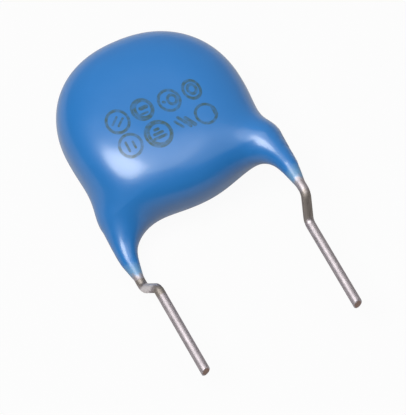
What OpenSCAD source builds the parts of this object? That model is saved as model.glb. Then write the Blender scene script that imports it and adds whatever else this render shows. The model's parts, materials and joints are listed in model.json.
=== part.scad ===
// Ceramic disc capacitor with two radial leads and a dip-coated body.
//
// X runs across the two pins, with the front lead at +X. The pins point along -Y. Z is up.
// The capacitor lies on its back: the flat of its back face is at Z = 0, and the origin is there,
// halfway between the pins and level with the centre of the disc.
//
// One wire is soldered to the front of the ceramic and the other to its back, so the two leave the
// coating in different planes. A kink in each wire brings its pin back to the middle plane.

/* [Ceramic] */
// Diameter of the ceramic disc
ceramic_d = 9.4; // [8:0.1:12]
// Thickness of the ceramic disc
ceramic_t = 2.2; // [1.5:0.1:4]
// Bare ceramic left round each silver electrode
silver_margin = 0.3; // [0.1:0.05:1]
// Thickness of each fired silver electrode
silver_t = 0.05; // [0.03:0.01:0.1]
// How far the disc sits off the centre line of the pins, towards the front lead
disc_shift = 0; // [0:0.02:0.3]

/* [Leads] */
// Diameter of the tinned wire
wire_d = 0.6; // [0.5:0.05:0.8]
// Spacing of the two pins
pitch = 10; // [9:0.1:12.5]
// Length of each straight pin below its kink
pin_length = 6.36; // [3:0.02:25]
// Bare wire between the end of the coating and the kink
neck_length = 1.22; // [0.8:0.02:3]
// Slope of the wire in the middle of its kink
kink_angle = 60; // [45:1:70]
// How far each wire stands outside its own pin, above the kink
kink_out = 0.32; // [0:0.01:0.5]
// Radius of the wire's centre line in every bend
bend_r = 0.6; // [0.5:0.05:0.7]
// How much the wire swells where it is bent
bend_swell = 0.006; // [0.004:0.001:0.01]
// Straight wire inside the end of the coating, before it turns in over the ceramic
stem_length = 1.5; // [1:0.1:2.5]
// Angle at which the wire turns in over the ceramic
turn_angle = 29; // [22:1:34]
// Height of the end of each wire above the disc's centre
grip_y = 1.4; // [0:0.1:2.5]

/* [Solder] */
// Solder between a wire and its electrode
solder_film = 0.05; // [0.03:0.01:0.15]
// Solder over the top of a wire
solder_cover = 0.12; // [0.05:0.01:0.4]
// Length of wire that the solder holds
solder_length = 2.8; // [1:0.1:3.5]
// Width of the solder on the electrode
solder_w = 2; // [1.2:0.1:3]
// Width of the solder at its top
solder_top_w = 1; // [0.9:0.05:1.2]

/* [Coating] */
// Coating beyond the rim of the ceramic
rim_wall = 1.12; // [0.8:0.02:2]
// Coating over a wire at the front and back faces
face_wall = 0.85; // [0.8:0.01:2]
// Radius of the flat in the middle of each face
flat_r = 1.65; // [1.5:0.05:3]
// Squareness of the body seen from the front, where 2 is round
face_power = 2.22; // [2:0.01:2.4]
// Squareness of the body's rim seen from the side, where 2 is an ellipse
rim_power = 2.37; // [2:0.01:2.6]
// How far the coating runs down each wire, below the round of the disc
run_down = 1.46; // [1:0.02:4]
// Coating round a wire where the run-down ends
tip_wall = 0.14; // [0.12:0.01:0.3]
// Coating round a wire at the very end
lip_wall = 0.04; // [0.03:0.01:0.1]
// Length over which the end of the run-down rounds off
lip_length = 0.6; // [0.2:0.05:0.7]

/* [Flow of the coating] */
// How much the front leg would thicken over its whole rise
front_swell = 0.31; // [0.2:0.01:2.5]
// Rise over which the front leg thickens
front_rise = 4.81; // [4:0.01:9]
// How late in its rise the front leg thickens, where 1 is evenly
front_growth = 1.07; // [0.8:0.01:1.4]
// How far the front leg would move in to the middle plane over its rise, as a share
front_inset = 0.73; // [-0.2:0.01:1]
// Width of the front leg over its depth, at the top of its rise
front_width = 0.75; // [0.7:0.01:1.5]
// Reach of the fillet where the front leg flows into the body
front_fillet = 3.92; // [3:0.02:4.4]
// How much the back leg would thicken over its whole rise
back_swell = 1.58; // [0.5:0.02:2.5]
// Rise over which the back leg thickens
back_rise = 5.3; // [5:0.05:9]
// How late in its rise the back leg thickens, where 1 is evenly
back_growth = 1.24; // [0.8:0.01:1.4]
// How far the back leg would move in to the middle plane over its rise, as a share
back_inset = 0.41; // [-0.2:0.01:1]
// Width of the back leg over its depth, at the top of its rise
back_width = 1.42; // [0.7:0.01:1.5]
// Reach of the fillet where the back leg flows into the body
back_fillet = 4; // [3:0.02:4.4]
// How far a leg's middle moves in as it thickens, for each millimetre
lean = 1.43; // [0.9:0.01:1.6]
// Length of each leg before it ends inside the body
leg_length = 2.65; // [2:0.01:4.5]

/* [Hidden] */
$fn = 64;

// Steps of the coating's surface: along a leg, round its end, round the crown, along the lower
// edge, and from the edge to the top of a rib
leg_steps = 20;
lip_steps = 4;
crown_steps = 42;
base_steps = 12;
side_steps = 8;

// How the ribs of the coating's surface are laid out
ridge_angle = 50;       // where a leg's ridge meets the flat, below the horizontal
crown_angle = 10;       // heading of the first rib of the crown
ridge_pull = 2.2;       // straight start of a leg's ridge
search_reach = 9;       // farthest that the surface lies from a rib's root
search_steps = 18;      // halvings of that reach

ceramic_r = ceramic_d / 2;
wire_r = wire_d / 2;
face_z = ceramic_t / 2 + silver_t;            // outer face of an electrode, above the middle plane
lead_z = face_z + solder_film + wire_r;       // centre line of the front wire
half_t = lead_z + wire_r + face_wall;         // half the thickness of the body
disc_r = ceramic_r + rim_wall;                // round of the body
lead_x = pitch / 2 + kink_out;                // centre line of a wire above its kink
tip_r = wire_r + tip_wall;
lip_r = wire_r + lip_wall;
tip_y = -disc_r - run_down;                   // where the full run-down ends
kink_y = tip_y - neck_length;                 // top of the kink
kink_shift = norm([kink_out, lead_z]);        // sideways reach of the kink
kink_run = (kink_shift - 2 * bend_r * (1 - cos(kink_angle))) / sin(kink_angle);
kink_height = 2 * bend_r * sin(kink_angle) + kink_run * cos(kink_angle);
kink_turn = atan2(-lead_z, kink_out);         // side to which the kink leans, about the pin
bend_lap = sqrt(bend_r * bend_swell);         // a straight runs this far into a bend, and stays inside

// The wire's last stretch, from the corner of its turn to its end
turn = [lead_x, tip_y + stem_length];
grip = [turn.x - (grip_y - turn.y) * tan(turn_angle), grip_y];
turn_cut = bend_r * tan(turn_angle / 2);      // straight lost at each side of the corner

// --- Wire -------------------------------------------------------------------------------------

// A straight of wire up from the origin, with the children at its far end. At an end with a bend it
// runs on into the bend, which is a hair thicker
module straight(length, before = bend_lap, after = bend_lap) {
    translate([0, 0, -before]) cylinder(h = before + length + after, r = wire_r);
    translate([0, 0, length]) children();
}

// A bend of wire, up from the origin and over to the side at an angle about Z, with the children at
// its far end
module bend(angle, side) {
    rotate(side) {
        translate([bend_r, 0, 0]) rotate([90, 0, 180]) rotate_extrude(angle = angle)
            translate([bend_r, 0]) circle(r = wire_r + bend_swell);
        translate([bend_r * (1 - cos(angle)), 0, bend_r * sin(angle)])
            rotate([0, angle, 0]) rotate(-side) children();
    }
}

// The front wire from the end of its pin to its end on the ceramic, about the middle plane
module wire() {
    translate([pitch / 2, kink_y - kink_height - pin_length, 0]) rotate([-90, 0, 0])
        straight(pin_length, before = 0)
        bend(kink_angle, kink_turn) straight(kink_run) bend(kink_angle, kink_turn + 180)
        straight(turn.y - turn_cut - kink_y)
        bend(turn_angle, 180)
        straight(norm(turn - grip) - turn_cut, after = 0);
}

// --- Solder -----------------------------------------------------------------------------------

// A pad of solder on the front electrode, along the last stretch of the wire
module solder_pad() {
    solder_h = solder_film + wire_d + solder_cover;
    translate([grip.x, grip.y, face_z]) rotate(turn_angle) hull()
        for (end = [0, 1 - solder_length]) translate([0, end, 0])
            cylinder(h = solder_h, d1 = solder_w, d2 = solder_top_w, $fn = 32);
}

// --- Coating ----------------------------------------------------------------------------------
//
// Liquid resin hangs in a thick round body on the disc and in a leg down each wire, and flows into
// a fillet between them. Each of these is given by how far a point lies outside it, in millimetres
// and below zero inside, and two of them are joined over a fillet. Points are about the middle
// plane, and side is 1 for the front lead and -1 for the back lead.

function ease(t) = let (u = min(max(t, 0), 1)) u * u * (3 - 2 * u);

function curve(a, b, c, d, t) =
    pow(1 - t, 3) * a + 3 * pow(1 - t, 2) * t * b + 3 * (1 - t) * t * t * c + pow(t, 3) * d;

// Distance from the origin where a round is slightly squared
function squared(a, b, power) = pow(pow(abs(a), power) + pow(abs(b), power), 1 / power);

// A body with a flat on both faces, slightly squared both in outline and in the profile of its rim
function body_distance(p) =
    let (beyond = max(squared(p.x - disc_shift, p.y, face_power) - flat_r, 0))
    squared(beyond * half_t / (disc_r - flat_r), p.z, rim_power) - half_t;

// A leg that is a sleeve on its wire at the tip. Higher up it thickens, and its middle leans in
// towards the disc. It also moves in from the level of its wire to the middle plane, and its section
// becomes an oval
function leg_distance(p, side) =
    let (up = max(p.y - tip_y, 0),
         risen = ease(min(up, leg_length) / (side > 0 ? front_rise : back_rise)),
         thick = pow(risen, side > 0 ? front_growth : back_growth),
         extra = thick * (side > 0 ? front_swell : back_swell),
         inset = thick * (side > 0 ? front_inset : back_inset),
         width = 1 - thick * (1 - (side > 0 ? front_width : back_width)),
         depth = (side * p.z - lead_z * (1 - inset)) * width)
    norm([side * p.x - lead_x + lean * extra, depth, max(up - leg_length, 0)]) - tip_r - extra;

function join(a, b, reach) =
    min(a, b) - pow(max(reach - abs(a - b), 0), 3) / (6 * reach * reach);

function coat_distance(p) =
    join(join(body_distance(p), leg_distance(p, 1), front_fillet),
         leg_distance(p, -1), back_fillet);

// How far the surface lies from a point inside, along a heading: halve the reach it must lie in
function surface_reach(root, heading, near = 0, far = search_reach, steps = search_steps) =
    let (half = (near + far) / 2)
    steps == 0 ? half
    : coat_distance(root + half * heading) < 0
      ? surface_reach(root, heading, half, far, steps - 1)
      : surface_reach(root, heading, near, half, steps - 1);

// The surface is drawn over ribs. A rib swings from straight up, out to its heading, and down, round
// a root on the middle of a leg or on the edge of the flats. A rib is [its root, its heading, its
// share of the full thickness, which is below 1 only where the tip of a leg rounds off]
function leg_rib(step, side, first, last) =
    let (t = max(step, 0) / leg_steps,
         share = min(1 + step / lip_steps, 1),
         heading = first + (last - first) * t,
         tip = [side * lead_x, tip_y - lip_length * cos(90 * share)],
         flat = [disc_shift + side * flat_r * cos(ridge_angle), -flat_r * sin(ridge_angle)],
         root = curve(tip, tip + [0, ridge_pull], flat, flat, t))
    [[root.x, root.y, side * lead_z * (1 - ease(t))],
     side > 0 ? heading : 180 - heading, sin(90 * share)];

// A rib rooted on the edge of the flats
function flat_rib(angle, heading) =
    [[disc_shift + flat_r * cos(angle), flat_r * sin(angle), 0], heading, 1];

steps_up = [for (step = [-lip_steps:leg_steps]) step];
steps_down = [for (step = [leg_steps:-1:-lip_steps]) step];

// The ribs in order round the edge: up the outside of the front leg, over the crown, down the
// outside of the back leg and up its inside, along the lower edge, and down to the first tip
outer_ribs = [
    each [for (step = steps_up) leg_rib(step, 1, 0, crown_angle)],
    each [for (i = [1:crown_steps - 1]) let (share = i / crown_steps)
        flat_rib(-ridge_angle + share * (180 + 2 * ridge_angle),
                 crown_angle + share * (180 - 2 * crown_angle))],
    each [for (step = steps_down) leg_rib(step, -1, 0, crown_angle)]];
base_ribs = [for (i = [1:base_steps - 1])
    flat_rib(180 + ridge_angle + i / base_steps * (180 - 2 * ridge_angle), 270)];
ribs = [each outer_ribs, each [for (step = steps_up) leg_rib(step, -1, 180, 270)],
        each base_ribs, each [for (step = steps_down) leg_rib(step, 1, 180, 270)]];

leg_count = len(steps_up);
outer_count = len(outer_ribs);
base_start = outer_count + leg_count;
foot_start = base_start + len(base_ribs);

// Both ribs from one root share their points on the front and back ridges. The roots are counted
// once each, in the order of the outer ribs and then of the base ribs
roots = [each outer_ribs, each base_ribs];
function root_index(k) =
    k < outer_count ? k : k < base_start ? 2 * outer_count - 1 - k
    : k < foot_start ? k - leg_count : len(ribs) - 1 - k;

// The roots round the flats, which are drawn at their exact height
flat_ring = [each [for (k = [leg_count - 1:outer_count - leg_count]) k],
             each [for (k = [base_start:foot_start - 1]) root_index(k)]];

function rib_point(rib, tilt) =
    let (heading = [cos(rib[1]) * cos(tilt), sin(rib[1]) * cos(tilt), sin(tilt)],
         reach = surface_reach(rib[0], heading))
    [0, 0, half_t] + rib[0] + (lip_r + (reach - lip_r) * rib[2]) * heading;

function ridge_point(k, tilt) =
    len(search(k, flat_ring)) > 0 ? [roots[k][0].x, roots[k][0].y, half_t * (1 + sin(tilt))]
    : rib_point(roots[k], tilt);

// Points of every rib between its ridges, then the front ridge, then the back ridge
side_points = 2 * side_steps - 1;
coat_points = [
    for (rib = ribs) for (j = [1:side_points]) rib_point(rib, 90 * (1 - j / side_steps)),
    for (tilt = [90, -90]) for (k = [0:len(roots) - 1]) ridge_point(k, tilt)];
front_ridge = len(ribs) * side_points;
back_ridge = front_ridge + len(roots);

function vertex(k, j) =
    let (rib = k % len(ribs))
    j == 0 ? front_ridge + root_index(rib)
    : j > side_points ? back_ridge + root_index(rib)
    : rib * side_points + j - 1;

coat_faces = [
    for (k = [0:len(ribs) - 1]) for (j = [0:side_points])
        let (a = vertex(k, j), b = vertex(k + 1, j), c = vertex(k + 1, j + 1), d = vertex(k, j + 1))
        each [if (a != b) [a, b, c], if (c != d) [a, c, d]],
    [for (i = [len(flat_ring) - 1:-1:0]) front_ridge + flat_ring[i]],
    [for (i = flat_ring) back_ridge + i]];

// --- Sub-parts --------------------------------------------------------------------------------

module at_middle() translate([0, 0, half_t]) children();

module at_disc() translate([disc_shift, 0, half_t]) children();

// The back of the capacitor is its front turned over about the pins' centre line, except that the
// disc's own shift stays
module turned_over() rotate([0, 180, 0]) children();

module ceramic_disc() {
    color("tan") at_disc() translate([0, 0, -ceramic_t / 2]) cylinder(h = ceramic_t, r = ceramic_r);
}

module electrode() {
    translate([0, 0, ceramic_t / 2]) cylinder(h = silver_t, r = ceramic_r - silver_margin);
}

module front_electrode() {
    color("gainsboro") at_disc() electrode();
}

module back_electrode() {
    color("gainsboro") at_disc() turned_over() electrode();
}

module front_lead() {
    color("silver") at_middle() wire();
}

module back_lead() {
    color("silver") at_middle() turned_over() wire();
}

module front_solder() {
    color("darkgray") at_middle() difference() {
        solder_pad();
        wire();
    }
}

module back_solder() {
    color("darkgray") at_middle() turned_over() difference() {
        solder_pad();
        wire();
    }
}

module coating() {
    color([0.24, 0.5, 0.78]) difference() {
        polyhedron(coat_points, coat_faces);
        ceramic_disc();
        front_electrode();
        back_electrode();
        front_solder();
        back_solder();
        front_lead();
        back_lead();
    }
}

coating();
ceramic_disc();
front_electrode();
back_electrode();
front_solder();
back_solder();
front_lead();
back_lead();
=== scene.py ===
# %% [markdown]
# # A ceramic disc capacitor
#
# This notebook dresses a packed construction model. The frame holds the real sizes of every piece.
# Here the coating and the two wires are made again as fine meshes, and every piece gets a material
# that is worked out from formulas, with no pictures.
#
# The frame is loaded first, because everything else takes its place from it.

import json
import math

import bpy
import numpy as np
from mathutils import Matrix, Vector


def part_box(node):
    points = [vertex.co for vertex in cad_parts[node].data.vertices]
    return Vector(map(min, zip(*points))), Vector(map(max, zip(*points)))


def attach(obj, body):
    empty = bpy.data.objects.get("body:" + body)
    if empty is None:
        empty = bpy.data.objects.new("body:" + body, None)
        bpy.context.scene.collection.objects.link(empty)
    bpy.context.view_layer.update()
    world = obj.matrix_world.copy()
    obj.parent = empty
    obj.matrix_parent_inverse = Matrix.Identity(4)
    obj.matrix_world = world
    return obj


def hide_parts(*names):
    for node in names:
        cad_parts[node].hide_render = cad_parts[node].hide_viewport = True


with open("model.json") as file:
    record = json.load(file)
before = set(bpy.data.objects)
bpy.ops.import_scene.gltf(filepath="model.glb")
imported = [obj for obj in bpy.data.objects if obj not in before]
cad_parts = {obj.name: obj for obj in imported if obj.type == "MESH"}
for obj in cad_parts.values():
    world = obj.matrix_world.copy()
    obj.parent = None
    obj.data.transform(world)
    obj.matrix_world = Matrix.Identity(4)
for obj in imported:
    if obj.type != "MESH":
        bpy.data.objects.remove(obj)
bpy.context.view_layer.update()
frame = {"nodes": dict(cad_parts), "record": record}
print("nodes:", sorted(frame["nodes"]))

# %% [markdown]
# ## Sizes
#
# The shapes are worked out in millimetres, which suit a part this small, and each mesh is scaled
# to metres when it is made. What the frame can tell is read from it: the wire's thickness and the
# places of the pins come from the mounts, and the boxes of the ceramic, the coating and the front
# wire give the rest.

# %% Sizes read from the frame, in millimetres
MM = 0.001


def box_mm(node):
    """The lowest and highest corner of a frame node, in millimetres."""
    low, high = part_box(node)
    return np.array(low) / MM, np.array(high) / MM


mounts = {mount["name"]: mount for mount in frame["record"]["mounts"]}
coat_low, coat_high = box_mm("coating")
disc_low, disc_high = box_mm("ceramic_disc")

wire_r = mounts["front_lead_pin"]["dims"]["r_mm"]
pin_x = mounts["front_lead_pin"]["pos_m"][0] / MM
half_t = mounts["front_lead_pin"]["pos_m"][2] / MM
disc_shift = (disc_low[0] + disc_high[0]) / 2
disc_r = coat_high[1]
pin_end = box_mm("front_lead")[0][1]
print(f"wire radius {wire_r}, body radius {disc_r:.2f}, half thickness {half_t:.2f} mm")

# %% [markdown]
# The coating hides where each wire runs inside it, so these few sizes are named as they are in the
# construction model. Above its kink the front wire stands further out than its own pin, and higher.
# Only the kink differs a little: it starts 0.2 mm lower and leans 5 degrees less here, which comes
# nearer to the real part's.

# %% Sizes shared with the construction model, in millimetres
lead_x = 5.32           # centre line of a wire above its kink
lead_z = 1.5            # the same, above the middle plane
bend_r = 0.6            # centre line of a wire in every bend
kink_angle = math.radians(55)
turn_angle = math.radians(29)
tip_y = -7.28           # end of the coating's full run-down
kink_y = -8.7           # top of the kink
stem_length = 1.5       # straight wire inside the end of the coating
grip_y = 1.4            # where the wire ends on the ceramic

# %% [markdown]
# ## The shape of the coating
#
# The real disc is dipped in liquid epoxy and hung up by its wires to cure. The resin forms a thick
# round body and a leg down each wire, with a smooth fillet between them. Modelling that by hand
# from patches leaves creases, so the shape is given by a distance instead: how far a point lies
# outside the body, or outside a leg. Two distances are joined over a fillet of finite reach, and
# the surface is wherever the joined distance is zero.

# %% The distances that make the coating
flat_r = 1.65           # flat in the middle of each face
face_power = 2.22       # squareness seen from the front, where 2 is round
rim_power = 2.37        # squareness of the rim seen from the side
tip_r = 0.44            # a leg where its full run-down ends
leg_length = 2.65       # a leg stops thickening this far above that
lean = 1.43             # how far a leg's middle moves in for each millimetre that it thickens
# For the front leg and the back leg: how much it would thicken, over what rise, how late it does
# so, how far its middle would move in to the middle plane, its width over its depth at the top of
# its rise, and the reach of its fillet
swell = {1: 0.31, -1: 1.58}
rise = {1: 4.81, -1: 5.3}
growth = {1: 1.07, -1: 1.24}
inset = {1: 0.73, -1: 0.41}
width = {1: 0.75, -1: 1.42}
fillet = {1: 3.92, -1: 4}


def ease(t):
    """Runs smoothly from 0 to 1."""
    t = np.clip(t, 0, 1)
    return t * t * (3 - 2 * t)


def squared(a, b, power):
    """Distance from the origin where a round is slightly squared."""
    return (np.abs(a) ** power + np.abs(b) ** power) ** (1 / power)


def body_distance(p):
    """A body with a flat on both faces, slightly squared in outline and in profile."""
    beyond = np.maximum(squared(p[:, 0] - disc_shift, p[:, 1], face_power) - flat_r, 0)
    return squared(beyond * half_t / (disc_r - flat_r), p[:, 2], rim_power) - half_t


def leg_distance(p, side):
    """A sleeve on its wire at the tip, which thickens and moves in towards the disc higher up."""
    up = np.maximum(p[:, 1] - tip_y, 0)
    thick = ease(np.minimum(up, leg_length) / rise[side]) ** growth[side]
    extra = thick * swell[side]
    depth = side * p[:, 2] - lead_z * (1 - inset[side] * thick)
    across = np.stack([side * p[:, 0] - lead_x + lean * extra,
                       depth * (1 - (1 - width[side]) * thick),
                       np.maximum(up - leg_length, 0)], 1)
    return np.linalg.norm(across, axis=1) - tip_r - extra


def join(a, b, reach):
    """The nearer of two shapes, with a fillet where both are near."""
    return np.minimum(a, b) - np.maximum(reach - np.abs(a - b), 0) ** 3 / (6 * reach ** 2)


# %% [markdown]
# At its tip a leg doesn't stop with a step: the resin thins to nothing on the wire, along an edge
# that isn't quite even. The distance to a leg is therefore taken a little further than in the
# construction model: round the end of the full run-down the sleeve starts to narrow, and lower down
# it lies level with the wire's own surface, to about 0.01 mm.

# %% The thin ends of the legs
lip_top = 0.4                   # the resin thins from this far above the end of its full run-down
lip_length = 1.05               # to this far below it
sunk = 0.03                     # narrowed this much past the wire, as the body's fillet adds it back
ragged = 0.09                   # how far its edge wanders up and down


def leg_with_tip(p, side):
    """The distance to a leg, with its end thinned out on the wire."""
    round_wire = np.arctan2(side * p[:, 2] - lead_z, side * p[:, 0] - lead_x)
    edge = ragged * (np.sin(2 * round_wire + side) + 0.5 * np.sin(5 * round_wire + 2 * side))
    down = np.clip((tip_y + lip_top - p[:, 1]) / (lip_top + lip_length - ragged + edge), 0, 1)
    thinned = (tip_r - wire_r + sunk) * down ** 1.2
    below = tip_y - lip_length - ragged - p[:, 1]
    return np.maximum(leg_distance(p, side) + thinned, below)


def coat_distance(p):
    """How far points lie outside the coating, in millimetres about the middle plane."""
    with_front = join(body_distance(p), leg_with_tip(p, 1), fillet[1])
    return join(with_front, leg_with_tip(p, -1), fillet[-1])


print("at the middle of the front face:", coat_distance(np.array([[0, 0, half_t]])))

# %% [markdown]
# The surface has to become a mesh. Marching over a grid would leave uneven slivers, so the mesh is
# grown the way a sculptor would do it: rough stand-ins for the body and the legs are joined and
# remeshed into even quads, and then every point is moved along the slope of the distance until it
# lies on the true surface. A little smoothing between the moves keeps the quads even.

# %% Grow the coating's mesh
voxel = 0.08                    # size of one quad
leg_root = (2.5, -2.5)          # where a rough leg's thick end lies inside the body
leg_root_r = 2.4                # and its radius there
relax_rounds = 8
seek_steps = 4                  # moves towards the surface in each round
longest_move = 0.3              # in one step
least_slope = 0.05              # squared: a distance that is nearly level counts as this steep


def evaluated_mesh(obj):
    """The mesh of an object with its modifiers applied."""
    bpy.context.view_layer.update()
    return bpy.data.meshes.new_from_object(
        obj.evaluated_get(bpy.context.evaluated_depsgraph_get()))


def rough_coating():
    """Joined stand-ins for the body and both legs, remeshed into even quads, in millimetres."""
    bpy.ops.object.select_all(action="DESELECT")
    bpy.ops.mesh.primitive_uv_sphere_add(segments=48, ring_count=24, radius=1)
    body = bpy.context.object
    body.scale = (disc_r, disc_r, half_t)
    legs = []
    for side in (1, -1):
        low = Vector((side * lead_x, tip_y - lip_length - ragged, side * lead_z))
        high = Vector((side * leg_root[0], leg_root[1], 0))
        bpy.ops.mesh.primitive_cone_add(vertices=24, radius1=tip_r, radius2=leg_root_r,
                                        depth=(high - low).length, location=(low + high) / 2)
        bpy.context.object.rotation_mode = "QUATERNION"
        bpy.context.object.rotation_quaternion = (high - low).to_track_quat("Z", "Y")
        legs.append(bpy.context.object)
    for part in (body, *legs):
        part.select_set(True)
    bpy.context.view_layer.objects.active = body
    bpy.ops.object.transform_apply(location=False)
    bpy.ops.object.join()
    remesh = body.modifiers.new("even quads", "REMESH")
    remesh.mode = "VOXEL"
    remesh.voxel_size = voxel
    mesh = evaluated_mesh(body)
    bpy.data.objects.remove(body)
    return mesh


def slope(p, step=1e-3):
    """Which way the distance grows fastest at each point, and how fast."""
    return np.stack([(coat_distance(p + step * axis) - coat_distance(p - step * axis)) / (2 * step)
                     for axis in np.eye(3)], 1)


def settle(points):
    """Moves points onto the coating's surface."""
    for _ in range(seek_steps):
        grade = slope(points)
        steep = np.maximum((grade ** 2).sum(1), least_slope)
        move = -(coat_distance(points) / steep)[:, None] * grade
        length = np.linalg.norm(move, axis=1, keepdims=True)
        points = points + move * np.minimum(1, longest_move / np.maximum(length, 1e-9))
    return points


def smoothed(points, edges):
    """Each point moved half way to the middle of its neighbours."""
    total = np.zeros_like(points)
    count = np.zeros(len(points))
    for a, b in ((0, 1), (1, 0)):
        np.add.at(total, edges[:, a], points[edges[:, b]])
        np.add.at(count, edges[:, a], 1)
    return 0.5 * points + 0.5 * total / count[:, None]


coat_mesh = rough_coating()
points = np.empty(len(coat_mesh.vertices) * 3)
coat_mesh.vertices.foreach_get("co", points)
points = points.reshape(-1, 3)
edges = np.empty(len(coat_mesh.edges) * 2, int)
coat_mesh.edges.foreach_get("vertices", edges)
edges = edges.reshape(-1, 2)
for _ in range(relax_rounds):
    points = settle(smoothed(points, edges))
points = settle(settle(points))
off = np.abs(coat_distance(points))
print(f"coating: {len(coat_mesh.polygons)} quads, at most {off.max():.4f} mm off the surface")

# %% [markdown]
# The points are held inside the box of the construction model's coating, let down by the length of
# the thin tips. They are scaled to metres and smooth-shaded. The mesh also remembers how thick the
# resin is over the wire at each point, because the thin end of a leg lets the metal show through.
# That number is kept as an attribute, which a material can read.

# %% Make the coating object
def place_mesh(name, mesh, points_mm):
    """Gives a mesh its points, in millimetres above the bench, and puts it in the scene."""
    mesh.name = name
    mesh.vertices.foreach_set("co", (points_mm * MM).ravel())
    mesh.polygons.foreach_set("use_smooth", [True] * len(mesh.polygons))
    mesh.update()
    piece = bpy.data.objects.new(name, mesh)
    bpy.context.scene.collection.objects.link(piece)
    return piece


def resin_over_wire(p):
    """How thick the resin is at a leg's end, in millimetres. Higher up it counts as 1 mm."""
    out = [np.hypot(side * p[:, 0] - lead_x, side * p[:, 2] - lead_z) - wire_r for side in (1, -1)]
    thick = np.minimum(*out)
    return thick + (1 - thick) * ease((p[:, 1] - tip_y) / stem_length)


on_bench = np.clip(points + [0, 0, half_t], coat_low - [0, lip_length, 0], coat_high)
coating_skin = place_mesh("coating_skin", coat_mesh, on_bench)
resin = coat_mesh.attributes.new("resin", "FLOAT", "POINT")
resin.data.foreach_set("value", resin_over_wire(points).clip(0, 1))

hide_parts("coating")
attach(coating_skin, "root")
print("coating box in mm:", on_bench.min(0).round(3), on_bench.max(0).round(3))

# %% [markdown]
# ## The wires
#
# Each wire is tinned copper, bent on a forming tool. It runs up from its cut end, steps over in the
# kink, goes up into the coating and turns in over the ceramic. Its middle line is a chain of
# straights with a round bend at every corner, so only the corners have to be named. The back wire
# is the front wire turned over about the middle of the part.

# %% The middle line of a wire
def rounded_path(corners, radius, spacing):
    """Points along straight runs between corners, with a round bend at each corner."""
    corners = [np.array(corner, float) for corner in corners]
    path = [corners[0]]
    for before, corner, after in zip(corners, corners[1:], corners[2:]):
        way_in = (corner - before) / np.linalg.norm(corner - before)
        way_out = (after - corner) / np.linalg.norm(after - corner)
        angle = math.acos(np.clip(way_in @ way_out, -1, 1))
        start = corner - way_in * radius * math.tan(angle / 2)
        towards = way_out - way_in * (way_in @ way_out)
        towards /= np.linalg.norm(towards)
        for bent in np.linspace(0, angle, 2 + int(angle * radius / spacing)):
            path.append(start + radius * (math.sin(bent) * way_in + (1 - math.cos(bent)) * towards))
    path.append(corners[-1])
    filled = [path[0]]
    for here, there in zip(path, path[1:]):
        pieces = max(1, round(np.linalg.norm(there - here) / spacing))
        filled += [here + (there - here) * k / pieces for k in range(1, pieces + 1)]
    return np.array(filled)


kink_shift = math.hypot(lead_x - pin_x, lead_z)
kink_high = kink_y - bend_r * math.tan(kink_angle / 2)
kink_low = kink_high - kink_shift / math.tan(kink_angle)
turn_y = tip_y + stem_length
grip_x = lead_x - (grip_y - turn_y) * math.tan(turn_angle)
ring_spacing = 0.05
wire_line = rounded_path([(pin_x, pin_end, 0), (pin_x, kink_low, 0), (lead_x, kink_high, lead_z),
                          (lead_x, turn_y, lead_z), (grip_x, grip_y, lead_z)], bend_r, ring_spacing)
print(f"wire: {len(wire_line)} rings, from y {wire_line[0][1]:.2f} to {wire_line[-1][1]:.2f} mm")

# %% [markdown]
# A ring of points is carried along the middle line without twisting. Two marks of the tools are
# made in the mesh: the cutters leave a slanted end with a rounded edge, and the forming tool
# presses the wire slightly oval in its kink. The mesh also keeps where each point would lie if the
# wire were pulled straight, which lets a material draw lines along a bent wire.

# %% Sweep a wire
ring_sides = 40
cut_slant = 0.2                 # how far the cutters' slant reaches up the wire
cut_reach = 1.0                 # the rings below this are squeezed together by it
cut_round = 0.035               # rounding of the cut edge
# Rings of the cut face: each one's share of the wire's thickness, and of the rounding's depth
cut_face = ((0.985, 0.4), (0.95, 0.75), (0.88, 0.95), (0.8, 1), (0.55, 1), (0.25, 1))
pressed = 0.05                  # share by which the kink is flattened
press_reach = 0.6               # how far from the kink's middle that fades


def carried_frame(line):
    """Heading, side and over directions along a line, carried along without twist."""
    heading = np.gradient(line, axis=0)
    heading /= np.linalg.norm(heading, axis=1, keepdims=True)
    across = [np.array([1.0, 0, 0])]
    for way in heading[1:]:
        turned = across[-1] - way * (across[-1] @ way)
        across.append(turned / np.linalg.norm(turned))
    return heading, np.array(across), np.cross(np.array(across), heading)


def wire_rings(cut_turn):
    """The rings of a wire about the middle plane, and the same rings pulled straight."""
    heading, across, over = carried_frame(wire_line)
    along = np.r_[0, np.cumsum(np.linalg.norm(np.diff(wire_line, axis=0), axis=1))]
    turn = np.linspace(0, 2 * math.pi, ring_sides, endpoint=False)
    in_kink = np.exp(-((wire_line[:, 1] - (kink_low + kink_high) / 2) / press_reach) ** 2)
    rings, straight = [], []
    for k, reach in enumerate(along):
        radius = wire_r * (1 - pressed * in_kink[k] * np.sin(turn) ** 2)
        ring = (wire_line[k] + np.outer(radius * np.cos(turn), across[k])
                + np.outer(radius * np.sin(turn), over[k]))
        squeeze = cut_slant * max(0, 1 - reach / cut_reach)
        ring += np.outer(squeeze * (1 + np.cos(turn - cut_turn)) / 2, heading[k])
        rings.append(ring)
        straight.append(np.stack([radius * np.cos(turn), radius * np.sin(turn),
                                  np.full(ring_sides, reach)], 1))
    edge, flat_edge = rings[0] + heading[0] * cut_round, straight[0]
    rings[0] = edge
    for share, depth in cut_face:
        middle = edge.mean(0)
        rings.insert(0, middle + (edge - middle) * share - heading[0] * cut_round * depth)
        straight.insert(0, flat_edge * [share, share, 1] - [0, 0, cut_round * depth])
    return np.array(rings), np.array(straight)


def with_middles(rings):
    """All points of the rings, and then the middle of the first ring and of the last."""
    return np.concatenate([rings.reshape(-1, 3), [rings[0].mean(0)], [rings[-1].mean(0)]])


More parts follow.
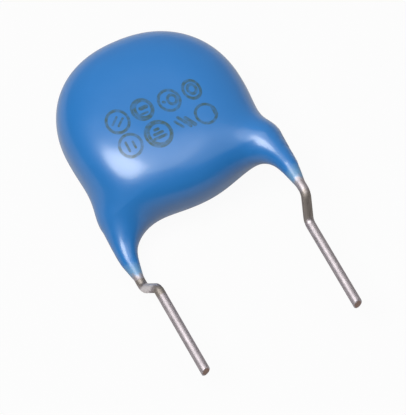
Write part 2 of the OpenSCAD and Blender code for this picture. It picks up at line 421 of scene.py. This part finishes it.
def tube_mesh(name, rings, straight):
    """A closed tube through rings of points, with the straightened points as an attribute."""
    count, sides = rings.shape[:2]
    around = [(j, (j + 1) % sides) for j in range(sides)]
    faces = [(k * sides + a, k * sides + b, (k + 1) * sides + b, (k + 1) * sides + a)
             for k in range(count - 1) for a, b in around]
    first, last = count * sides, count * sides + 1
    faces += [(first, b, a) for a, b in around]
    faces += [(last, (count - 1) * sides + a, (count - 1) * sides + b) for a, b in around]
    places = with_middles(rings)
    mesh = bpy.data.meshes.new(name)
    mesh.from_pydata(places.tolist(), [], faces)
    pulled = mesh.attributes.new("pulled_straight", "FLOAT_VECTOR", "POINT")
    pulled.data.foreach_set("vector", with_middles(straight).ravel())
    return mesh, places


wires = {}
for side, node, cut_turn in ((1, "front_lead", 0.9), (-1, "back_lead", math.pi + 0.7)):
    mesh, places = tube_mesh(node + "_wire", *wire_rings(cut_turn))
    wires[node] = place_mesh(node + "_wire", mesh, places * [side, 1, side] + [0, 0, half_t])
    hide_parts(node)
    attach(wires[node], "root")
    print(node, "faces:", len(mesh.polygons))

# %% [markdown]
# ## Building materials from nodes
#
# Every finish below is a small tree of nodes. A few helpers keep them short: they add a node and
# wire up its inputs, work out a sum, fade or mix two values, and start or use a node group with
# named sockets. A group holds an effect that several finishes share, such as cloudy patches, and
# each finish gives it its own values.

# %% Helpers for nodes
def add(tree, kind, inputs=None, **settings):
    """Adds a node. An input is either another node's output or a plain value."""
    made = tree.nodes.new("ShaderNode" + kind)
    for name, value in settings.items():
        setattr(made, name, value)
    for socket, value in (inputs or {}).items():
        if isinstance(value, bpy.types.NodeSocket):
            tree.links.new(value, made.inputs[socket])
        else:
            made.inputs[socket].default_value = value
    return made


def calc(tree, operation, *values, clamp=False):
    """One sum on numbers."""
    made = add(tree, "Math", dict(enumerate(values)), operation=operation, use_clamp=clamp)
    return made.outputs[0]


def move(tree, operation, *values):
    """One sum on positions."""
    made = add(tree, "VectorMath", dict(enumerate(values)), operation=operation)
    return made.outputs["Value" if operation == "LENGTH" else "Vector"]


def fade(tree, value, low, high, to_low=0.0, to_high=1.0):
    """Runs smoothly between two values as another number goes from low to high."""
    made = add(tree, "MapRange", {"Value": value, "From Min": low, "From Max": high,
                                  "To Min": to_low, "To Max": to_high},
               interpolation_type="SMOOTHSTEP")
    return made.outputs["Result"]


def blend_colours(tree, share, first, second):
    """Mixes two colours. The sockets go by number, because a Mix node has several of each name."""
    made = add(tree, "Mix", {0: share, 6: first, 7: second}, data_type="RGBA")
    return made.outputs[2]


def start_group(name, inputs, outputs):
    """A node group. The inputs are (name, kind, default) and the outputs are (name, kind)."""
    tree = bpy.data.node_groups.new(name, "ShaderNodeTree")
    for label, kind, default in inputs:
        made = tree.interface.new_socket(label, in_out="INPUT", socket_type="NodeSocket" + kind)
        made.default_value = default
    for label, kind in outputs:
        tree.interface.new_socket(label, in_out="OUTPUT", socket_type="NodeSocket" + kind)
    return tree, tree.nodes.new("NodeGroupInput").outputs, tree.nodes.new("NodeGroupOutput").inputs


def use_group(tree, group, inputs):
    """Adds a node group and gives back its outputs."""
    return add(tree, "Group", inputs, node_tree=group).outputs


def start_material(name):
    """A material with its shader, and its place in millimetres from the frame's origin."""
    made = bpy.data.materials.new(name)
    made.use_nodes = True
    tree = made.node_tree
    place = add(tree, "TexCoord").outputs["Object"]
    return made, tree, tree.nodes["Principled BSDF"], move(tree, "DIVIDE", place, (MM, MM, MM))


def emboss(tree, shader, height, strength):
    """Fine relief on a material, 0.02 mm deep at full strength."""
    bump = add(tree, "Bump", {"Height": height, "Strength": strength, "Distance": 0.02 * MM})
    tree.links.new(bump.outputs[0], shader.inputs["Normal"])


# %% [markdown]
# Two effects serve more than one finish. Patches are soft cloudy variation. Grain is fine relief
# that can be stretched along one axis, from the ripple of cured resin to the lines that a drawing
# die leaves. Each takes a position in millimetres and a size in millimetres.

# %% Shared effects
patches, into, out = start_group(
    "patches", [("Place", "Vector", (0, 0, 0)), ("Size", "Float", 1), ("Low", "Float", 0),
                ("High", "Float", 1), ("Contrast", "Float", 1)], [("Amount", "Float")])
frequency = calc(patches, "DIVIDE", 1.0, into["Size"])
cloud = add(patches, "TexNoise", {"Vector": into["Place"], "Scale": frequency, "Detail": 3.0})
spread = calc(patches, "MULTIPLY_ADD", calc(patches, "SUBTRACT", cloud.outputs["Fac"], 0.5),
              calc(patches, "MULTIPLY", into["Contrast"], 3.0), 0.5, clamp=True)
ranged = add(patches, "MapRange", {"Value": spread, "To Min": into["Low"], "To Max": into["High"]})
patches.links.new(ranged.outputs["Result"], out["Amount"])

grain, into, out = start_group(
    "grain", [("Place", "Vector", (0, 0, 0)), ("Stretch", "Vector", (1, 1, 1)),
              ("Size", "Float", 0.1), ("Detail", "Float", 2)], [("Height", "Float")])
stretched = move(grain, "DIVIDE", into["Place"], into["Stretch"])
fine = add(grain, "TexNoise", {"Vector": stretched, "Detail": into["Detail"],
                               "Scale": calc(grain, "DIVIDE", 1.0, into["Size"])})
grain.links.new(fine.outputs["Fac"], out["Height"])
print("groups:", [group.name for group in bpy.data.node_groups])

# %% [markdown]
# ## The print
#
# The maker's print on such a part is stamped in dark olive ink, which sinks in and fades unevenly.
# Here it is two rows of plain rings with simple shapes in them, and it says nothing. A ring is the
# band around an ellipse and a bar is a short rounded stroke, each given by its distance from a
# point, so the lines stay sharp at any scale and need no picture.

# %% Ink shapes
ink_ring, into, out = start_group(
    "ink_ring", [("Place", "Vector", (0, 0, 0)), ("Middle", "Vector", (0, 0, 0)),
                 ("Half Size", "Vector", (0.65, 0.72, 1)), ("Line", "Float", 0.07)],
    [("Mask", "Float")])
from_middle = move(ink_ring, "SUBTRACT", into["Place"], into["Middle"])
scaled = move(ink_ring, "LENGTH", move(ink_ring, "DIVIDE", from_middle, into["Half Size"]))
parts = add(ink_ring, "SeparateXYZ", {0: into["Half Size"]}).outputs
off_ring = calc(ink_ring, "ABSOLUTE", calc(ink_ring, "SUBTRACT", scaled, 1.0))
gap = calc(ink_ring, "MULTIPLY", off_ring, parts["X"])
ink_ring.links.new(fade(ink_ring, gap, into["Line"], calc(ink_ring, "MULTIPLY", into["Line"], 1.5),
                        1.0, 0.0), out["Mask"])

ink_bar, into, out = start_group(
    "ink_bar", [("Place", "Vector", (0, 0, 0)), ("Middle", "Vector", (0, 0, 0)),
                ("Turn", "Float", 0), ("Length", "Float", 0.6), ("Line", "Float", 0.055)],
    [("Mask", "Float")])
from_middle = move(ink_bar, "SUBTRACT", into["Place"], into["Middle"])
turned = add(ink_bar, "VectorRotate", {"Vector": from_middle, "Angle": into["Turn"]},
             rotation_type="Z_AXIS").outputs[0]
parts = add(ink_bar, "SeparateXYZ", {0: turned}).outputs
past_end = calc(ink_bar, "MAXIMUM", calc(ink_bar, "SUBTRACT", calc(ink_bar, "ABSOLUTE", parts["X"]),
                                         calc(ink_bar, "MULTIPLY", into["Length"], 0.5)), 0.0)
gap = move(ink_bar, "LENGTH", add(ink_bar, "CombineXYZ", {0: past_end, 1: parts["Y"]}).outputs[0])
ink_bar.links.new(fade(ink_bar, gap, into["Line"], calc(ink_bar, "MULTIPLY", into["Line"], 1.5),
                       1.0, 0.0), out["Mask"])


# Each shape: its rings (x, y, half width, half height), and its strokes (x, y, turn, length, line)
ink_shapes = {
    "two slants": (((0, 0, 0.66, 0.76),),
                   ((-0.14, 0.12, -40, 0.55, 0.06), (0.14, -0.12, -40, 0.55, 0.06))),
    "wide bar": (((0, 0.07, 0.62, 0.7), (0.08, 0.07, 0.5, 0.6)),
                 ((0.12, 0.16, 0, 0.35, 0.11), (0, -0.22, 0, 0.4, 0.06))),
    "ring and dot": (((0, -0.08, 0.63, 0.72), (0.18, -0.1, 0.26, 0.32)),
                     ((-0.34, -0.06, 45, 0.06, 0.08),)),
    "small rings": (((0, 0, 0.5, 0.64), (0.02, 0.02, 0.25, 0.32)), ()),
    "two bars": (((0, 0.08, 0.66, 0.72),),
                 ((-0.2, 0.08, 90, 0.6, 0.06), (0.2, 0.02, 90, 0.42, 0.06))),
    "stack": (((0, 0, 0.78, 0.84), (0.08, 0, 0.66, 0.72)),
              ((0, 0.3, 0, 0.22, 0.08), (0, 0.02, 0, 0.5, 0.08), (0, -0.26, 0, 0.72, 0.08))),
    "three slants": ((), ((-0.38, 0.02, 62, 0.6, 0.07), (-0.02, 0.05, 62, 0.95, 0.08),
                          (0.32, -0.08, 62, 0.7, 0.1))),
    "side bar": (((0, 0, 0.62, 0.64),), ((0.56, 0, 90, 0.45, 0.1),)),
}
print_plan = (
    (-0.27, (-2.69, -1.03, 0.68, 2.21), ("two slants", "wide bar", "ring and dot", "small rings")),
    (-2.1, (-2.7, -0.9, 0.84, 2.23), ("two bars", "stack", "three slants", "side bar")),
)


def print_rows(tree, place):
    """The mask of all the ink on the front face."""
    flat = add(tree, "VectorMath", {0: place, 1: (1, 1, 0)}, operation="MULTIPLY").outputs[0]
    masks = []
    for row_y, columns, shapes in print_plan:
        for x, shape in zip(columns, shapes):
            rings, strokes = ink_shapes[shape]
            for dx, dy, wide, tall in rings:
                masks.append(use_group(tree, ink_ring, {
                    "Place": flat, "Middle": (x + dx, row_y + dy, 0),
                    "Half Size": (wide, tall, 1)})["Mask"])
            for dx, dy, turn, length, line in strokes:
                masks.append(use_group(tree, ink_bar, {
                    "Place": flat, "Middle": (x + dx, row_y + dy, 0), "Turn": math.radians(turn),
                    "Length": length, "Line": line})["Mask"])
    total = masks[0]
    for mask in masks[1:]:
        total = calc(tree, "MAXIMUM", total, mask)
    height = add(tree, "SeparateXYZ", {0: place}).outputs["Z"]
    return calc(tree, "MULTIPLY", total, calc(tree, "GREATER_THAN", height, half_t))


# %% [markdown]
# ## Blue epoxy
#
# The coating is filled epoxy: an even, strong blue with a soft gloss. It isn't a mirror, because
# the filler leaves the surface very slightly rippled, so highlights have a soft edge with a faint
# haze round them. A broad sheen comes from the base layer's roughness and the sharper core of a
# highlight from a coat. At the ends of the legs the resin is so thin that it loses its gloss and
# the tinned wire shows through, first grey-blue and then bare.

# %% The coating's material
blue = (0.016, 0.156, 0.443, 1)
pale_blue = (0.019, 0.166, 0.463, 1)
thin_resin = (0.12, 0.27, 0.46, 1)
olive_ink = (0.026, 0.078, 0.095, 1)
tin = (0.5, 0.455, 0.475, 1)

coating, tree, shader, place = start_material("blue_epoxy")
cloudy = use_group(tree, patches, {"Place": place, "Size": 2.5, "Contrast": 0.5})["Amount"]
body_blue = blend_colours(tree, cloudy, blue, pale_blue)
resin_depth = add(tree, "Attribute", attribute_name="resin").outputs["Fac"]
edge_noise = use_group(tree, patches, {"Place": place, "Size": 0.25, "Low": -0.02, "High": 0.02})
resin_depth = calc(tree, "ADD", resin_depth, edge_noise["Amount"])
# From 0.24 mm up the resin has its full colour, and below 0.07 mm the tin comes through
over_wire = blend_colours(tree, fade(tree, resin_depth, 0.08, 0.24), thin_resin, body_blue)
bare = fade(tree, resin_depth, 0.0, 0.07, 1.0, 0.0)
worn = use_group(tree, patches, {"Place": place, "Size": 0.3, "Low": 0.4, "High": 1.0})["Amount"]
ink = calc(tree, "MULTIPLY", print_rows(tree, place), worn)
printed = blend_colours(tree, ink, over_wire, olive_ink)
tree.links.new(blend_colours(tree, bare, printed, tin), shader.inputs["Base Color"])
tree.links.new(bare, shader.inputs["Metallic"])
smudge = use_group(tree, patches, {"Place": place, "Size": 1.6, "Contrast": 0.5,
                                   "Low": 0.36, "High": 0.42})["Amount"]
rough = calc(tree, "MULTIPLY_ADD", ink, 0.15, smudge)
tree.links.new(calc(tree, "MULTIPLY_ADD", bare, 0.25, rough), shader.inputs["Roughness"])
gloss = fade(tree, resin_depth, 0.04, 0.5, 0.0, 0.7)
tree.links.new(calc(tree, "MULTIPLY_ADD", ink, -0.4, gloss), shader.inputs["Coat Weight"])
shader.inputs["Coat Roughness"].default_value = 0.2
ripple = use_group(tree, grain, {"Place": place, "Size": 0.5})["Height"]
emboss(tree, shader, ripple, 0.25)
coating_skin.data.materials.append(coating)

# %% [markdown]
# ## Tinned copper wire
#
# Hot-dipped tin isn't polished: it's grey and a little mottled, with fine lines along the wire from
# drawing it through a die. The straightened positions let the lines follow every bend. The wire's
# edges are darker than its middle: a painted shade, a dark tint on its reflection at a slant that
# stands in for dark surroundings. The front wire's kink is darker brown, and so is the back wire
# above and below its kink, while that back kink is painted near white, a painted glint that stands
# in for its bright reflection. The cutters smear some tin over one side of the cut face, and the
# rest of it shows the copper core.

# %% The wires' material
light_tin = (0.59, 0.54, 0.56, 1)
dull_tin = (0.49, 0.445, 0.465, 1)
# Near white: a painted glint on the back wire's kink
painted_glint_tin = (0.95, 0.9, 0.9, 1)
# A dark edge tint: painted shade at the wires' slanted sides
painted_edge_shade = (0.35, 0.32, 0.31, 1)
dark_brown_tin = (0.36, 0.32, 0.285, 1)
copper = (0.38, 0.27, 0.23, 1)

tinned, tree, shader, place = start_material("tinned_copper")
pulled = add(tree, "Attribute", attribute_name="pulled_straight").outputs["Vector"]
mottle = use_group(tree, patches, {"Place": pulled, "Size": 0.5})["Amount"]
tin_colour = blend_colours(tree, mottle, dull_tin, light_tin)

spot = add(tree, "SeparateXYZ", {0: place}).outputs
wander = use_group(tree, patches, {"Place": place, "Size": 0.35, "Low": -0.15, "High": 0.15})
down_wire = calc(tree, "SUBTRACT", wander["Amount"], spot["Y"])


def stretch(start, end, soft):
    """A mask that is 1 between two places down the wires, with soft ends."""
    return calc(tree, "MULTIPLY", fade(tree, down_wire, start, start + soft),
                fade(tree, down_wire, end - soft, end, 1.0, 0.0))


kink_top, kink_foot = -kink_y, -kink_low    # both as places down the wires, in millimetres
on_front = calc(tree, "GREATER_THAN", spot["X"], 0.0)
on_back = calc(tree, "SUBTRACT", 1.0, on_front)
# Darker brown on the front wire's kink, and on the back wire above and below its kink.
front_dark_band = stretch(kink_top + 0.05, kink_foot + 0.26, 0.35)
back_dark_bands = calc(tree, "ADD", stretch(kink_top - 0.4, kink_top + 0.25, 0.25),
                  stretch(kink_foot - 0.19, kink_foot + 0.81, 0.35))
darkened = calc(tree, "ADD", calc(tree, "MULTIPLY", on_front, front_dark_band),
               calc(tree, "MULTIPLY", on_back, back_dark_bands), clamp=True)
tin_colour = blend_colours(tree, calc(tree, "MULTIPLY", darkened, 0.9), tin_colour, dark_brown_tin)
# The back wire's kink is painted near white, a painted glint that stands in for its bright
# reflection.
painted_glint = calc(tree, "MULTIPLY", on_back, stretch(kink_top + 0.15, kink_foot - 0.09, 0.3))
tin_colour = blend_colours(tree, painted_glint, tin_colour, painted_glint_tin)

parts = add(tree, "SeparateXYZ", {0: pulled}).outputs
core_r = calc(tree, "SQRT", calc(tree, "ADD", calc(tree, "POWER", parts["X"], 2.0),
                                 calc(tree, "POWER", parts["Y"], 2.0)))
smear = use_group(tree, patches, {"Place": pulled, "Size": 0.3, "Low": 0.2, "High": 0.3})["Amount"]
in_core = fade(tree, calc(tree, "SUBTRACT", smear, core_r), 0.0, 0.03)
on_cut = calc(tree, "MULTIPLY", calc(tree, "LESS_THAN", parts["Z"], -0.03), in_core)
tree.links.new(blend_colours(tree, on_cut, tin_colour, copper), shader.inputs["Base Color"])
dullness = use_group(tree, patches, {"Place": pulled, "Size": 0.45, "Low": 0.6, "High": 0.52})
tree.links.new(dullness["Amount"], shader.inputs["Roughness"])
shader.inputs["Metallic"].default_value = 1.0
# A painted shade: this tint darkens the wire's reflection where it's seen at a slant, standing in
# for dark surroundings.
shader.inputs["Specular Tint"].default_value = painted_edge_shade
lines = use_group(tree, grain, {"Place": pulled, "Stretch": (1, 1, 14), "Size": 0.05,
                                "Detail": 3})["Height"]
lumps = use_group(tree, grain, {"Place": pulled, "Stretch": (1, 1, 2), "Size": 0.3})["Height"]
emboss(tree, shader, calc(tree, "MULTIPLY_ADD", lines, 0.15, lumps), 0.15)
for wire in wires.values():
    wire.data.materials.append(tinned)

# %% [markdown]
# ## Inside the coating
#
# The ceramic disc, its silver electrodes and the solder stay as the frame made them, because the
# coating covers them. They still get honest finishes for anyone who opens the part up: a fine
# sintered grain on the ceramic, screened silver, and solder that froze with soft ripples.

# %% Materials of the inner pieces
def simple_finish(name, first, second, patch, roughness, grain_size, relief, metallic=0.0):
    """Two colours in patches, a roughness range, and a fine grain."""
    made, tree, shader, place = start_material(name)
    share = use_group(tree, patches, {"Place": place, "Size": patch})["Amount"]
    tree.links.new(blend_colours(tree, share, first, second), shader.inputs["Base Color"])
    rough = use_group(tree, patches, {"Place": place, "Size": patch * 0.6, "Low": roughness[0],
                                      "High": roughness[1]})["Amount"]
    tree.links.new(rough, shader.inputs["Roughness"])
    shader.inputs["Metallic"].default_value = metallic
    height = use_group(tree, grain, {"Place": place, "Size": grain_size})["Height"]
    emboss(tree, shader, height, relief)
    return made


inner_finishes = {
    "ceramic_disc": simple_finish("sintered_ceramic", (0.45, 0.30, 0.18, 1), (0.52, 0.37, 0.24, 1),
                                  patch=0.6, roughness=(0.7, 0.85), grain_size=0.06, relief=0.4),
    "electrode": simple_finish("screened_silver", (0.80, 0.79, 0.76, 1), (0.88, 0.87, 0.84, 1),
                               patch=0.4, roughness=(0.35, 0.5), grain_size=0.04, relief=0.3,
                               metallic=1.0),
    "solder": simple_finish("frozen_solder", (0.50, 0.50, 0.51, 1), (0.66, 0.66, 0.67, 1),
                            patch=0.5, roughness=(0.2, 0.4), grain_size=0.25, relief=0.6,
                            metallic=1.0),
}
for node, piece in frame["nodes"].items():
    for ending, finish in inner_finishes.items():
        if node.endswith(ending):
            piece.data.materials.clear()
            piece.data.materials.append(finish)
            print(node, "is", finish.name)

# %% [markdown]
# ## Floor
#
# The part lies on its back on a large pale floor. The floor is far wider than the part, so the
# metal has something to reflect in every direction. Seen directly it is mixed towards plain white,
# which leaves only a breath of the part's shadow on it. In a reflection it is mixed less far, so
# that the wires keep their dark edges.

# %% The floor
floor_half = 2.0                # metres
whiteness = 0.95
mirrored_whiteness = 0.3

bpy.ops.mesh.primitive_plane_add(size=2 * floor_half)
floor = bpy.context.object
floor.name = "floor"
pale = bpy.data.materials.new("pale_floor")
pale.use_nodes = True
tree = pale.node_tree
shader = tree.nodes["Principled BSDF"]
shader.inputs["Base Color"].default_value = (0.4, 0.4, 0.4, 1)
shader.inputs["Roughness"].default_value = 0.9
shader.inputs["Specular IOR Level"].default_value = 0.2
white = add(tree, "Emission", {"Color": (1, 1, 1, 1), "Strength": 1.0})
rays = add(tree, "LightPath").outputs
mirrored = calc(tree, "ADD", rays["Is Glossy Ray"], rays["Is Transmission Ray"], clamp=True)
share = calc(tree, "MAXIMUM", calc(tree, "MULTIPLY", rays["Is Camera Ray"], whiteness),
             calc(tree, "MULTIPLY", mirrored, mirrored_whiteness))
both = add(tree, "MixShader", {0: share, 1: shader.outputs[0], 2: white.outputs[0]})
tree.links.new(both.outputs[0], tree.nodes["Material Output"].inputs["Surface"])
floor.data.materials.append(pale)

# %% [markdown]
# ## Light
#
# A small glossy part is lit by soft boxes and the room. The key box stands high at the left and
# makes the highlight on the lower left of the face. A panel straight above lights the whole part
# and draws the long sheen along the shoulder between the legs. A small panel at the right softens
# the shadows. The room itself is dark on the camera's side and a little lighter behind the part,
# so the coating's far edge gets a pale rim.

# %% Lamps and the room
def sky_direction(azimuth, elevation):
    """A direction from its azimuth, clockwise from +Y, and its height, both in degrees."""
    a, e = math.radians(azimuth), math.radians(elevation)
    return Vector((math.sin(a) * math.cos(e), math.cos(a) * math.cos(e), math.sin(e)))


def disc_lamp(name, azimuth, elevation, distance, half_angle, radiance):
    """A round lamp that faces the part, given by how wide and how bright it looks from there."""
    light = bpy.data.lights.new(name, "AREA")
    light.shape = "DISK"
    light.size = 2 * distance * math.tan(math.radians(half_angle))
    light.energy = radiance * math.pi * math.pi * (light.size / 2) ** 2
    lamp = bpy.data.objects.new(name, light)
    lamp.location = sky_direction(azimuth, elevation) * distance
    lamp.rotation_euler = (-lamp.location).to_track_quat("-Z", "Y").to_euler()
    bpy.context.scene.collection.objects.link(lamp)
    print(f"{name}: {light.energy:.2f} W")


disc_lamp("key_box", azimuth=-94, elevation=63.5, distance=0.4, half_angle=17, radiance=10.7)
disc_lamp("top_panel", azimuth=0, elevation=90, distance=0.4, half_angle=22, radiance=2.0)
disc_lamp("right_panel", azimuth=120, elevation=60, distance=0.4, half_angle=20, radiance=0.9)

room = bpy.data.worlds.new("room")
bpy.context.scene.world = room
room.use_nodes = True
tree = room.node_tree
towards = add(tree, "TexCoord").outputs["Generated"]
behind = add(tree, "VectorMath", {0: towards, 1: sky_direction(35, 12)}, operation="DOT_PRODUCT")
sky = add(tree, "ValToRGB", {"Fac": behind.outputs["Value"]})
sky.color_ramp.interpolation = "EASE"
for stop, (where, level) in zip(sky.color_ramp.elements, ((0.3, 0.02), (0.95, 0.3))):
    stop.position = where
    stop.color = (level, level, level, 1)
tree.links.new(sky.outputs["Color"], tree.nodes["Background"].inputs["Color"])

# %% [markdown]
# ## Camera
#
# The camera looks down steeply at the part from the side of its pins, a little to the left. A long
# lens keeps the sides of the wires nearly parallel.

# %% The camera
view_azimuth = math.radians(-26.77)
view_elevation = math.radians(59.36)
view_distance = 0.4                         # metres from the middle of the body
aim_right, aim_down = 0.002781, 0.005032    # metres from there to the middle of the view

back = Vector((math.sin(view_azimuth) * math.cos(view_elevation),
               -math.cos(view_azimuth) * math.cos(view_elevation), math.sin(view_elevation)))
right = Vector((math.cos(view_azimuth), math.sin(view_azimuth), 0))
up = back.cross(right)
body_middle = Vector((disc_shift, 0, half_t)) * MM
lens = bpy.data.cameras.new("camera")
lens.sensor_width = 36
lens.lens = 582.8
lens.clip_start = 0.01
camera = bpy.data.objects.new("camera", lens)
camera.location = body_middle + back * view_distance
ahead = (body_middle + right * aim_right - up * aim_down - camera.location).normalized()
side_way = ahead.cross(up).normalized()
axes = Matrix((side_way, side_way.cross(ahead), -ahead)).transposed()
camera.rotation_euler = axes.to_euler()
bpy.context.scene.collection.objects.link(camera)
bpy.context.scene.camera = camera
bpy.context.scene.view_settings.view_transform = "Standard"
